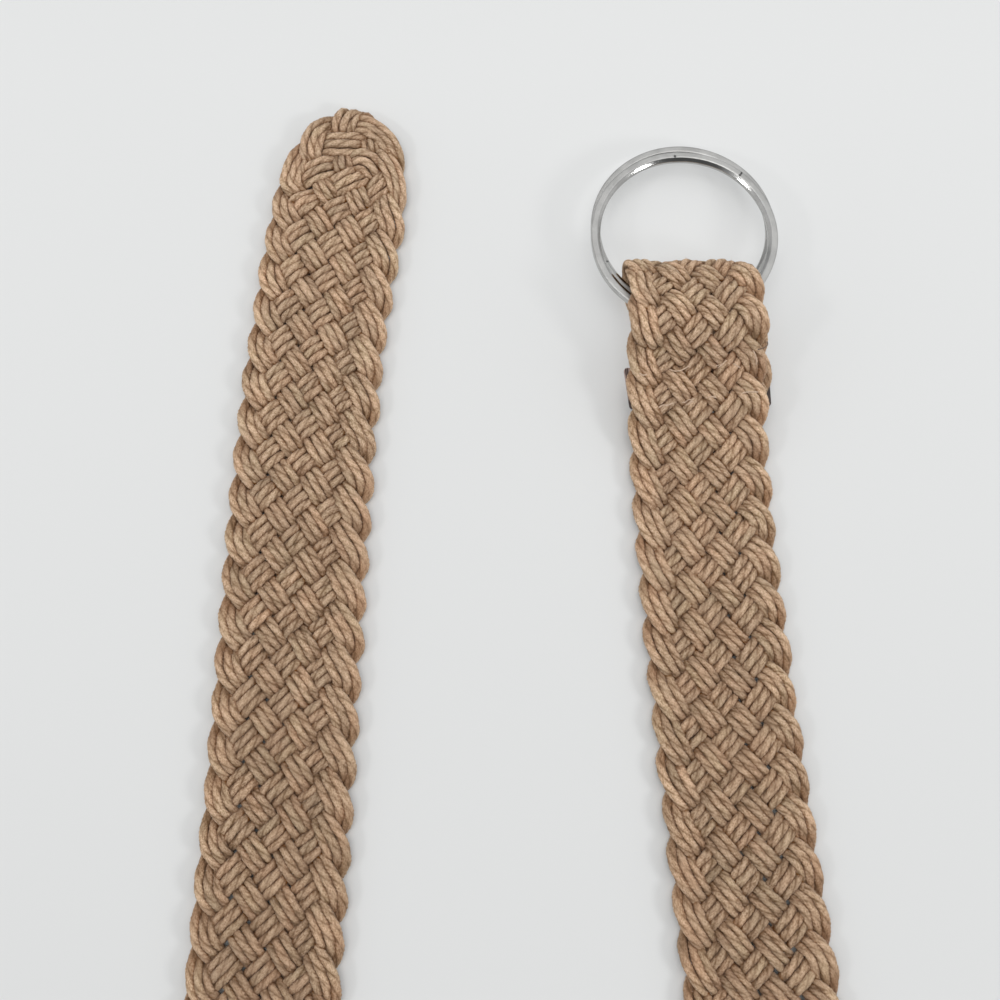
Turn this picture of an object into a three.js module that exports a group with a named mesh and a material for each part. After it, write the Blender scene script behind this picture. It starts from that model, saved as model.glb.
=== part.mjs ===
// A flat plaited cord belt lying on a surface, with two metal rings held in the
// folded end and a plain leather patch sewn under the end of the fold.
// Millimetres, +Z up, +Y towards the plaited tip and the rings.
import * as THREE from 'three';

// ---- driving dimensions -------------------------------------------------
const STRAP_THICKNESS = 4.6;      // two cords laid over each other
const RELIEF = 0.45;              // how far a gap of the plait lies below a crossing
const SCALLOP = 0.55;             // how far the edge loops stand out past the dips
const PITCH_STEP = 6.0;           // half of the plait's pitch along the strap
const FINE_STEP = 3.0;            // station spacing at the folded end
const FOLD_RISE = 5.9;            // radius of the strap's middle surface at the fold

const RING_BORE = 50.0;           // inside diameter of each ring
const RING_WIDTH = 2.9;           // radial width of the ring's flat face
const RING_HEIGHT = 2.8;          // thickness of each ring
const RING_CHAMFER = 0.45;        // broken edge of the ring's section
const RING_SEGMENTS = 64;
const RING_TILT = 3.6;            // degrees, the far side is the lower one
const RING_GAP = 0.2;             // clear gap between the two stacked rings
const RING_SLIP = 3.9;            // how far the upper ring has slid into the fold
const RING_LOWER = { x: 55.37, y: 150.7, z: 5.95 };  // centre of the lower ring

const PATCH = { x: 59.4, y: 102.4, wide: 43.4, long: 12.8, thick: 1.2, turn: 1.3, corner: 1.0 };

// ---- route of the strap in plan ----------------------------------------
// It starts at the middle of the rounded tip, heading towards -Y, and each row
// is a stretch along which the heading turns evenly (degrees, 0 is +X).
const START = { x: -48.0, y: 193.6, heading: -90 };
const ROUTE = [
  { name: 'tip',            length: 22.0,  heading: -91.5 },
  { name: 'tip lean',       length: 12.0,  heading: -98.5 },
  { name: 'free leg 1',     length: 30.0,  heading: -96.6 },
  { name: 'free leg 2',     length: 30.0,  heading: -94.2 },
  { name: 'free leg 3',     length: 40.0,  heading: -92.2 },
  { name: 'free leg 4',     length: 40.0,  heading: -91.5 },
  { name: 'free leg 5',     length: 40.0,  heading: -92.3 },
  { name: 'free leg 6',     length: 48.0,  heading: -93.4 },
  { name: 'spread out',     length: 70.0,  heading: -98.5 },
  { name: 'straight',       length: 42.43, heading: -98.5 },
  { name: 'turn',           length: 281.94, heading: 98.5 },
  { name: 'straight back',  length: 61.12, heading: 98.5 },
  { name: 'spread in',      length: 50.0,  heading: 95.8 },
  { name: 'ring leg 1',     length: 49.0,  heading: 95.4 },
  { name: 'ring leg 2',     length: 40.0,  heading: 94.4 },
  { name: 'ring leg 3',     length: 40.0,  heading: 93.2 },
  { name: 'ring leg 4',     length: 20.0,  heading: 92.4 },
  { name: 'ring leg 5',     length: 20.0,  heading: 91.6 },
  { name: 'ring leg 6',     length: 20.0,  heading: 90.8 },
  { name: 'fold',           length: 20.0,  heading: 90.0 },
];

// Height of the strap's middle surface near the fold. back is the distance in
// plan from the outermost line of the fold.
const RISE = [
  { back: 70.0, z: 2.3 }, { back: 64.0, z: 2.3 }, { back: 58.0, z: 3.2 }, { back: 52.0, z: 5.2 },
  { back: 46.0, z: 7.2 }, { back: 40.0, z: 8.3 }, { back: 34.0, z: 9.0 }, { back: 29.5, z: 11.8 },
  { back: 25.5, z: 15.6 }, { back: 21.5, z: 17.0 }, { back: 16.0, z: 16.4 }, { back: 11.5, z: 14.9 },
];
const TAIL = [
  { back: 12.0, z: 2.3 }, { back: 18.0, z: 2.3 }, { back: 24.0, z: 2.5 }, { back: 30.0, z: 3.6 },
  { back: 35.5, z: 3.8 }, { back: 41.0, z: 3.8 },
];
const FOLD_SHIFT = 1.3;           // the fold's underside stands a little to the left
const TAIL_SHIFT = 2.9;           // and the tail runs back from there to the right

// Half width of the strap along its length, and how much of the thickness is
// there. along is measured from the tip.
const WIDTH = [
  { along: 0.0,  half: 4.2,  full: 0.50 }, { along: 1.3,  half: 6.6,  full: 0.78 },
  { along: 4.2,  half: 9.8,  full: 0.95 }, { along: 9.4,  half: 14.0, full: 1.0 },
  { along: 14.5, half: 16.9, full: 1.0 },  { along: 20.0, half: 18.6, full: 1.0 },
  { along: 26.0, half: 19.7, full: 1.0 },  { along: 34.0, half: 20.8, full: 1.0 },
  { along: 55.0, half: 20.8, full: 1.0 },  { along: 75.0, half: 20.1, full: 1.0 },
  { along: 110., half: 20.2, full: 1.0 },  { along: 200., half: 20.0, full: 1.0 },
  { along: 270., half: 20.5, full: 1.0 },  { along: 330., half: 20.2, full: 1.0 },
  { along: 700., half: 20.3, full: 1.0 },  { along: 780., half: 19.8, full: 1.0 },
  { along: 900., half: 19.3, full: 1.0 },  { along: 930., half: 20.1, full: 1.0 },
  { along: 958., half: 19.8, full: 1.0 },  { along: 970., half: 18.6, full: 1.0 },
  { along: 993., half: 18.6, full: 1.0 },  { along: 1007., half: 19.8, full: 1.0 },
  { along: 1100., half: 20.2, full: 1.0 },
];
// Where the plait's seven crossing columns and its two edges lie across the
// strap, as a share of the half width.
const COLUMNS = [-0.95, -0.73, -0.48, -0.24, 0.0, 0.27, 0.54, 0.75, 0.95];

// ---- helpers -------------------------------------------------------------
const rad = THREE.MathUtils.degToRad;

function lookUp(rows, key, at, value) {
  if (at <= rows[0][key]) return rows[0][value];
  for (let k = 1; k < rows.length; k++) {
    if (at <= rows[k][key]) {
      const f = (at - rows[k - 1][key]) / (rows[k][key] - rows[k - 1][key]);
      return rows[k - 1][value] + f * (rows[k][value] - rows[k - 1][value]);
    }
  }
  return rows[rows.length - 1][value];
}

// Plan position and heading at a distance from the tip.
function planPoint(distance) {
  let { x, y, heading } = START;
  let left = Math.max(distance, 0);
  for (const row of ROUTE) {
    const turn = (row.heading - heading) / row.length;
    const run = Math.min(left, row.length);
    const mid = rad(heading + 0.5 * turn * run);
    const half = rad(0.5 * turn * run);
    const chord = run * (Math.abs(half) < 1e-9 ? 1 : Math.sin(half) / half);
    x += chord * Math.cos(mid);
    y += chord * Math.sin(mid);
    heading += turn * run;
    left -= run;
    if (left <= 1e-9) break;
  }
  return { x, y, heading };
}

const PLAN_LENGTH = ROUTE.reduce((sum, row) => sum + row.length, 0);

// The strap's middle surface at the folded end, as a smooth curve of
// (back, z) from the flat leg, over the rings, round the fold and under.
function foldCurve() {
  const points = RISE.map((row) => new THREE.Vector3(row.back, row.z, 0));
  const centre = { back: 2.3 + FOLD_RISE, z: 2.3 + FOLD_RISE };
  for (let angle = 75; angle >= -90; angle -= 27.5) {
    points.push(new THREE.Vector3(
      centre.back - FOLD_RISE * Math.cos(rad(angle)),
      centre.z + FOLD_RISE * Math.sin(rad(angle)), 0));
  }
  for (const row of TAIL) points.push(new THREE.Vector3(row.back, row.z, 0));
  return new THREE.CatmullRomCurve3(points, false, 'centripetal');
}

// ---- strap ---------------------------------------------------------------
function strapStations() {
  const stations = [];
  const place = (plan, z, slope, along, beat, shift) => {
    const heading = rad(plan.heading);
    const forward = new THREE.Vector3(Math.cos(heading), Math.sin(heading), 0);
    const across = new THREE.Vector3(-forward.y, forward.x, 0);   // left of travel
    const tangent = forward.clone().multiplyScalar(Math.cos(slope)).setZ(Math.sin(slope));
    const normal = new THREE.Vector3().crossVectors(tangent, across);
    const centre = new THREE.Vector3(plan.x, plan.y, Math.max(z, STRAP_THICKNESS / 2))
      .addScaledVector(across, shift);
    stations.push({ centre, across, normal, along, beat });
  };
  // the lying part: a station on every half pitch, and closer ones at the tip
  const flatEnd = PLAN_LENGTH - RISE[0].back;
  const count = 2 * Math.round(flatEnd / PITCH_STEP / 2);
  const step = flatEnd / count;
  for (const beat of [0, 0.2, 0.7, 1.5]) place(planPoint(beat * step), 0, 0, beat * step, beat, 0);
  for (let beat = 2; beat < count; beat++) place(planPoint(beat * step), 0, 0, beat * step, beat, 0);
  // the rise over the rings, the fold and the tail: a station on every quarter pitch
  const curve = foldCurve();
  curve.arcLengthDivisions = 2000;
  const length = curve.getLength();
  const steps = Math.round(length / FINE_STEP);
  for (let k = 0; k <= steps; k++) {
    const p = curve.getPointAt(k / steps);
    const t = curve.getTangentAt(k / steps);
    const slope = Math.atan2(t.y, -t.x);      // back shrinks towards the fold
    const under = FOLD_SHIFT * THREE.MathUtils.smoothstep(k / steps, 0.52, 0.70)
      - TAIL_SHIFT * THREE.MathUtils.smoothstep(k / steps, 0.76, 0.96);
    place(planPoint(PLAN_LENGTH - p.x), p.y, slope, flatEnd + length * k / steps,
      count + k / 2, under);
  }
  return stations;
}

function strapSection(station) {
  const half = lookUp(WIDTH, 'along', station.along, 'half');
  const full = lookUp(WIDTH, 'along', station.along, 'full');
  const phase = station.beat * Math.PI;          // a beat is half a pitch
  const top = 0.5 * STRAP_THICKNESS * full;
  const edge = half - SCALLOP * 0.5 * (1 - Math.cos(phase));
  const ring = [];
  // upper face from the -across edge to the +across edge
  COLUMNS.forEach((share, i) => {
    const end = i === 0 || i === COLUMNS.length - 1;
    const dip = end ? 0.42 * top : RELIEF * 0.5 * (1 - Math.cos(phase + i * Math.PI)) * full;
    ring.push([share * (end ? edge : half), top - dip]);
  });
  ring.push([edge, -0.1 * top]);
  for (let i = COLUMNS.length - 1; i >= 0; i--) {
    const end = i === 0 || i === COLUMNS.length - 1;
    ring.push([COLUMNS[i] * (end ? edge * 0.98 : half), -top]);
  }
  ring.push([-edge, -0.1 * top]);
  return ring.map(([u, n]) => station.centre.clone()
    .addScaledVector(station.across, u)
    .addScaledVector(station.normal, n));
}

function strapGeometry() {
  const sections = strapStations().map(strapSection);
  const size = sections[0].length;
  const upper = COLUMNS.length;
  const positions = [];
  for (const section of sections) for (const p of section) positions.push(p.x, p.y, p.z);
  const index = [];
  for (let j = 0; j + 1 < sections.length; j++) {
    for (let i = 0; i < size; i++) {
      const a = j * size + i;
      const b = j * size + (i + 1) % size;
      const c = a + size;
      const d = b + size;
      if ((i + j) % 2) index.push(a, b, c, b, d, c);
      else index.push(a, b, d, a, d, c);
    }
  }
  // ends: strips between the upper and lower points
  const cap = (base, flip) => {
    const order = (a, b, c) => (flip ? index.push(base + a, base + c, base + b) : index.push(base + a, base + b, base + c));
    const low = (i) => size - 2 - i;                 // lower point under upper point i
    for (let i = 0; i + 1 < upper; i++) {
      order(i, low(i), i + 1);
      order(i + 1, low(i), low(i + 1));
    }
    order(upper - 1, low(upper - 1), upper);
    order(0, size - 1, low(0));
  };
  cap(0, false);
  cap((sections.length - 1) * size, true);
  const geometry = new THREE.BufferGeometry();
  geometry.setAttribute('position', new THREE.Float32BufferAttribute(positions, 3));
  geometry.setIndex(index);
  if (signedVolume(geometry) < 0) {
    for (let k = 0; k < index.length; k += 3) [index[k + 1], index[k + 2]] = [index[k + 2], index[k + 1]];
    geometry.setIndex(index);
  }
  geometry.computeVertexNormals();
  return geometry;
}

function signedVolume(geometry) {
  const p = geometry.getAttribute('position');
  const t = geometry.getIndex();
  const [a, b, c] = [new THREE.Vector3(), new THREE.Vector3(), new THREE.Vector3()];
  let sum = 0;
  for (let k = 0; k < t.count; k += 3) {
    a.fromBufferAttribute(p, t.getX(k));
    b.fromBufferAttribute(p, t.getX(k + 1));
    c.fromBufferAttribute(p, t.getX(k + 2));
    sum += a.dot(b.cross(c)) / 6;
  }
  return sum;
}

// ---- rings ---------------------------------------------------------------
function ringGeometry() {
  const inner = RING_BORE / 2;
  const outer = inner + RING_WIDTH;
  const half = RING_HEIGHT / 2;
  const c = RING_CHAMFER;
  const profile = [
    [inner + c, -half], [outer - c, -half], [outer, -half + c], [outer, half - c],
    [outer - c, half], [inner + c, half], [inner, half - c], [inner, -half + c], [inner + c, -half],
  ].map(([r, z]) => new THREE.Vector2(r, z));
  const geometry = new THREE.LatheGeometry(profile, RING_SEGMENTS);
  geometry.rotateX(Math.PI / 2);
  return geometry;
}

// ---- patch ---------------------------------------------------------------
function patchGeometry() {
  const { wide, long, thick, corner } = PATCH;
  const shape = new THREE.Shape();
  const x = wide / 2;
  const y = long / 2;
  shape.moveTo(-x + corner, -y);
  shape.lineTo(x - corner, -y);
  shape.quadraticCurveTo(x, -y, x, -y + corner);
  shape.lineTo(x, y - corner);
  shape.quadraticCurveTo(x, y, x - corner, y);
  shape.lineTo(-x + corner, y);
  shape.quadraticCurveTo(-x, y, -x, y - corner);
  shape.lineTo(-x, -y + corner);
  shape.quadraticCurveTo(-x, -y, -x + corner, -y);
  return new THREE.ExtrudeGeometry(shape, { depth: thick, bevelEnabled: false, curveSegments: 3 });
}

// ---- assembly --------------------------------------------------------------
const cord = new THREE.MeshStandardMaterial({ color: 0xb8977a, roughness: 0.95, metalness: 0 });
const steelUpper = new THREE.MeshStandardMaterial({ color: 0xa6a7a8, roughness: 0.34, metalness: 1 });
const steelLower = new THREE.MeshStandardMaterial({ color: 0x9c9d9f, roughness: 0.34, metalness: 1 });
const leather = new THREE.MeshStandardMaterial({ color: 0x75614f, roughness: 0.8, metalness: 0 });

function named(name, geometry, material) {
  const mesh = new THREE.Mesh(geometry, material);
  mesh.name = name;
  return mesh;
}

const belt = new THREE.Group();

const strap = named('strap', strapGeometry(), cord);
belt.add(strap);

// both rings lie in one sloping pair, the upper one slid towards the fold
const rings = new THREE.Group();
rings.position.set(RING_LOWER.x, RING_LOWER.y, RING_LOWER.z);
rings.rotation.x = -rad(RING_TILT);
const lower = named('ring_lower', ringGeometry(), steelLower);
const upper = named('ring_upper', ringGeometry(), steelUpper);
upper.position.set(-0.25, -RING_SLIP, RING_HEIGHT + RING_GAP);
rings.add(lower, upper);
belt.add(rings);

const patch = named('label_patch', patchGeometry(), leather);
patch.position.set(PATCH.x, PATCH.y, 0);
patch.rotation.z = rad(PATCH.turn);
belt.add(patch);

// origin at the middle of the whole belt's underside
belt.updateMatrixWorld(true);
const box = new THREE.Box3().setFromObject(belt, true);
belt.position.set(-(box.min.x + box.max.x) / 2, -(box.min.y + box.max.y) / 2, -box.min.z);
const model = new THREE.Group();
model.add(belt);
model.updateMatrixWorld(true);

export default model;
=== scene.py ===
import math

import bpy
import numpy as np
from mathutils import Matrix, Vector


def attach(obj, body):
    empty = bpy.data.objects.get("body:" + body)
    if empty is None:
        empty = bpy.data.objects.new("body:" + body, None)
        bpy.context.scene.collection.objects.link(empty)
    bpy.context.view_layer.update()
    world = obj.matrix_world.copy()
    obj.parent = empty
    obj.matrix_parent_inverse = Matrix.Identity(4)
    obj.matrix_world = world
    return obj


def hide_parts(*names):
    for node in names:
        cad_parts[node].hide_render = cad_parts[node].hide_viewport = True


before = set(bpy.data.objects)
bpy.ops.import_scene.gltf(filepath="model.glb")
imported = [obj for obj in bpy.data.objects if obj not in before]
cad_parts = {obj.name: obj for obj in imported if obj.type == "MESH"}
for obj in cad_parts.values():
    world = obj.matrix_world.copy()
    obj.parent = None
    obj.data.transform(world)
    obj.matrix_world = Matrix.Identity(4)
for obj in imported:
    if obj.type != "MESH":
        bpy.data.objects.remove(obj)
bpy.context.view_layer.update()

rng = np.random.default_rng(11)

# ---------------------------------------------------------------- plan and route
# millimetres; SHIFT takes the plan frame to the row frame
SHIFT = np.array([-4.3663177, 50.0324675, 0.0])
START = (-48.0, 193.6, -90.0)
ROUTE = [  # length, end heading
    (22.0, -91.5), (12.0, -98.5), (30.0, -96.6), (30.0, -94.2), (40.0, -92.2),
    (40.0, -91.5), (40.0, -92.3), (48.0, -93.4), (70.0, -98.5), (42.43, -98.5),
    (281.94, 98.5), (61.12, 98.5), (50.0, 95.8), (49.0, 95.4), (40.0, 94.4),
    (40.0, 93.2), (20.0, 92.4), (20.0, 91.6), (20.0, 90.8), (20.0, 90.0),
]
PLAN = sum(r[0] for r in ROUTE)
RISE = [  # back from the fold's outermost line, height of the middle surface
    (70.0, 2.3), (64.0, 2.3), (58.0, 3.2), (52.0, 5.2), (46.0, 7.2), (40.0, 8.3),
    (34.0, 9.0), (29.5, 11.8), (25.5, 15.6), (21.5, 17.0), (16.0, 16.4), (11.5, 14.9),
]
TAIL = [(12.0, 2.3), (18.0, 2.3), (24.0, 2.5), (30.0, 3.6), (35.5, 3.8), (41.0, 3.8)]
FOLD_RADIUS = 5.9
MIDDLE = 2.3                      # height of the strap's middle surface when it lies flat


def route_table():
    x, y, h = START
    rows, d = [(0.0, x, y, h)], 0.0
    for length, end in ROUTE:
        n = max(1, int(round(length / 0.25)))
        ds, dh = length / n, (end - h) / n
        for _ in range(n):
            mid, half = math.radians(h + dh / 2), math.radians(dh / 2)
            chord = ds * (math.sin(half) / half if abs(half) > 1e-9 else 1.0)
            x += chord * math.cos(mid)
            y += chord * math.sin(mid)
            h += dh
            d += ds
            rows.append((d, x, y, h))
        h = end
    return np.array(rows)


ROWS = route_table()


def plan(a):
    x = np.interp(a, ROWS[:, 0], ROWS[:, 1])
    y = np.interp(a, ROWS[:, 0], ROWS[:, 2])
    h = np.radians(np.interp(a, ROWS[:, 0], ROWS[:, 3]))
    over = np.minimum(a - ROWS[0, 0], 0) + np.maximum(a - ROWS[-1, 0], 0)
    return x + over * np.cos(h), y + over * np.sin(h), h


def fold_curve():
    centre = MIDDLE + FOLD_RADIUS
    pts = list(RISE)
    angle = 75.0
    while angle >= -90.0 - 1e-9:
        pts.append((centre - FOLD_RADIUS * math.cos(math.radians(angle)),
                    centre + FOLD_RADIUS * math.sin(math.radians(angle))))
        angle -= 27.5
    pts += TAIL
    p = np.array(pts, float)
    p = np.vstack([2 * p[0] - p[1], p, 2 * p[-1] - p[-2]])
    out = []
    for k in range(1, len(p) - 2):
        p0, p1, p2, p3 = p[k - 1:k + 3]
        d0, d1, d2 = [max(np.linalg.norm(q) ** 0.5, 1e-6) for q in (p1 - p0, p2 - p1, p3 - p2)]
        t1 = ((p1 - p0) / d0 - (p2 - p0) / (d0 + d1) + (p2 - p1) / d1) * d1
        t2 = ((p2 - p1) / d1 - (p3 - p1) / (d1 + d2) + (p3 - p2) / d2) * d1
        for t in np.linspace(0, 1, 50, endpoint=False):
            out.append((2 * t**3 - 3 * t * t + 1) * p1 + (t**3 - 2 * t * t + t) * t1
                       + (-2 * t**3 + 3 * t * t) * p2 + (t**3 - t * t) * t2)
    out.append(p[-2])
    return np.array(out)


FOLD = fold_curve()
FOLD_S = np.concatenate([[0.0], np.cumsum(np.linalg.norm(np.diff(FOLD, axis=0), axis=1))])
FOLD_T = np.gradient(FOLD, FOLD_S, axis=0)
FLAT = PLAN - RISE[0][0]
TOTAL = FLAT + FOLD_S[-1]


def strap_frame(a):
    """Centre, across, normal and tangent of the strap's middle surface at distances a from the tip."""
    a = np.asarray(a, float)
    s = np.clip(a - FLAT, 0, None)
    back = np.interp(s, FOLD_S, FOLD[:, 0])
    z = np.maximum(np.interp(s, FOLD_S, FOLD[:, 1]), MIDDLE)
    tb = np.interp(s, FOLD_S, FOLD_T[:, 0])
    tz = np.interp(s, FOLD_S, FOLD_T[:, 1])
    flat = a <= FLAT
    x, y, h = plan(np.where(flat, a, PLAN - back))
    slope = np.where(flat, 0.0, np.arctan2(tz, -tb))
    fx, fy = np.cos(h), np.sin(h)
    across = np.stack([-fy, fx, 0 * fx], -1)
    tangent = np.stack([fx * np.cos(slope), fy * np.cos(slope), np.sin(slope)], -1)
    normal = np.cross(tangent, across)
    ease = lambda lo, hi: np.clip((s / FOLD_S[-1] - lo) / (hi - lo), 0, 1)
    u, v = ease(0.52, 0.66), ease(0.66, 0.84)
    sideways = 1.0 * u * u * (3 - 2 * u) - 4.3 * v * v * (3 - 2 * v)
    centre = np.stack([x, y, z], -1) + across * sideways[..., None]
    centre = centre + tangent * np.maximum(a - TOTAL, 0)[..., None]
    return centre + SHIFT, across, normal, tangent


# ---------------------------------------------------------------- the rings' places
RING_CENTRES = {"ring_lower": (51.0037, 200.7325, 5.95), "ring_upper": (50.7537, 197.0285, 9.189)}
TILT = math.radians(3.6)
RING_TURN = np.array([[1, 0, 0], [0, math.cos(TILT), math.sin(TILT)], [0, -math.sin(TILT), math.cos(TILT)]])
RING_IN, RING_OUT, RING_HALF = 25.0, 27.9, 1.4

# ---------------------------------------------------------------- the plait's lattice
# Strands cross at whole numbers (i, j), i + j odd: i counts columns across the strap
# and j rows along it. Each row here is how far columns 1, 4 and 7 stand off an even
# lattice, across and along the strap (mm).
STEP, FIRST = 5.97, 3.0
COLUMN = np.array([-19.08, -14.31, -9.54, -4.77, 0.0, 4.77, 9.54, 14.31, 19.08])
LATTICE = np.array([
    # row   across 1, 4, 7        along 1, 4, 7
    (0,     -2.36, -0.47, 0.34,   2.65, 3.76, 7.26),
    (4,     -2.05, -0.43, 0.10,   1.19, 2.61, 6.62),
    (8,     -1.70, -0.39, -0.15,  -0.27, 1.47, 5.97),
    (12,    -1.33, -0.33, -0.34,  -1.61, 0.42, 5.35),
    (16,    -1.12, -0.37, -0.50,  -2.60, -0.47, 4.64),
    (20,    -1.08, -0.54, -0.65,  -3.34, -1.38, 3.85),
    (25,    -1.18, -0.57, -0.66,  -4.02, -2.35, 3.00),
    (30,    -1.31, -0.38, -0.45,  -4.56, -3.23, 2.06),
    (35,    -1.61, -0.30, -0.18,  -4.76, -3.78, 1.09),
    (40,    -1.90, -0.25, 0.31,   -4.74, -4.07, 0.09),
    (45,    -1.90, 0.03, 0.80,    -4.65, -4.33, -0.90),
    (125,   -1.62, 1.10, 1.20,    -0.46, 3.60, 8.92),
    (130,   -1.60, 0.71, 0.91,    0.26, 3.19, 8.97),
    (135,   -1.42, 0.31, 0.44,    0.92, 2.98, 9.04),
    (140,   -1.07, 0.32, 0.28,    1.23, 2.90, 9.07),
    (145,   -0.52, 0.78, 0.44,    1.42, 3.12, 9.20),
    (150,   -0.27, 0.60, 0.50,    1.84, 3.21, 9.34),
    (154,   -0.33, 0.40, 0.71,    2.32, 3.02, 9.20),
    (158,   -0.28, 0.67, 1.10,    2.90, 2.80, 8.81),
    (161,   -0.06, 1.01, 1.48,    3.33, 2.47, 8.30),
    (164,   0.18, 1.35, 1.86,     3.75, 2.13, 7.76),
    (180,   0.18, 1.35, 1.86,     3.75, 2.13, 7.76),
])
HALF_WIDTH = np.array([  # distance from the tip, half width of the strap
    (0, 20.6), (34, 20.9), (55, 21.0), (75, 20.7), (110, 20.9), (200, 20.8), (270, 21.1),
    (330, 21.0), (700, 21.1), (780, 20.8), (900, 20.4), (930, 20.6), (955, 20.3),
    (968, 19.6), (984, 19.2), (993, 19.2), (1007, 19.8), (1100, 20.2),
])
# Height of an upper strand's middle above the strap's middle surface, by place across.
CROWN_AT = np.array([-19.0, -15.0, -10.0, -5.0, 0.0, 5.0, 10.0, 15.0, 19.0])
CROWN = np.array([1.10, 1.30, 1.22, 1.22, 1.00, 1.56, 0.82, 1.30, 1.05])
DROP, LOWEST = 2.3, -1.08
CORD = 2.42                       # diameter of a cord
CORDS = (-1, 0, 1)
GAP = {1: 2.00, -1: 2.24, 0: 2.30}   # spacing of a strand's cords: leaning one way, the other, at the edge
LAST_ROW = 176


def lattice(i, j):
    cols = [np.interp(j, LATTICE[:, 0], LATTICE[:, c]) for c in range(1, 7)]
    t = (i - 4.0) / 3.0
    mix = lambda a, b, c: a * (t * (t - 1) / 2) + b * (1 - t * t) + c * (t * (t + 1) / 2)
    u = np.interp(i, np.arange(9), COLUMN) + mix(*cols[:3])
    return u, FIRST + STEP * j + mix(*cols[3:])


def step_weight(w, t, span, sharp):
    """Share of the way up, from w at t = 0 to 1 - w at t = span, flat at both ends."""
    return 0.5 + (w - 0.5) * np.tanh(sharp * np.cos(math.pi * t / span)) / math.tanh(sharp)


def walk(i, j, way):
    """Centreline of one strand from crossing (i, j) down the strap: rows of across, along, weight, cord spacing."""
    rows = []
    while j < LAST_ROW:
        u0, a0 = lattice(i, j)
        over = 1.0 if (i % 2 == 1) == (way > 0) else 0.0
        if 1 <= i + way <= 7:
            u1, a1 = lattice(i + way, j + 1)
            t = np.linspace(0, 1, 9)[:-1]
            w = step_weight(over, t, 1.0, 2.1)
            rows.append(np.stack([u0 + t * (u1 - u0), a0 + t * (a1 - a0), w, 0 * t + GAP[way]], -1))
            i, j = i + way, j + 1
        else:
            u2, a2 = lattice(i, j + 2)
            ac = lattice(i + way, j + 1)[1]
            side = 1 if way > 0 else -1
            apex = side * (np.interp(a0 + 6, HALF_WIDTH[:, 0], HALF_WIDTH[:, 1]) - GAP[0] - 1.34)
            uc = 2 * apex - 0.5 * (u0 + u2)
            t = np.linspace(0, 1, 17)[:-1]
            u = (1 - t)**2 * u0 + 2 * t * (1 - t) * uc + t * t * u2
            a = (1 - t)**2 * a0 + 2 * t * (1 - t) * ac + t * t * a2
            rows.append(np.stack([u, a, step_weight(over, t, 1.0, 1.3), 0 * t + GAP[0]], -1))
            j, way = j + 2, -way
    return np.vstack(rows)


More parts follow.
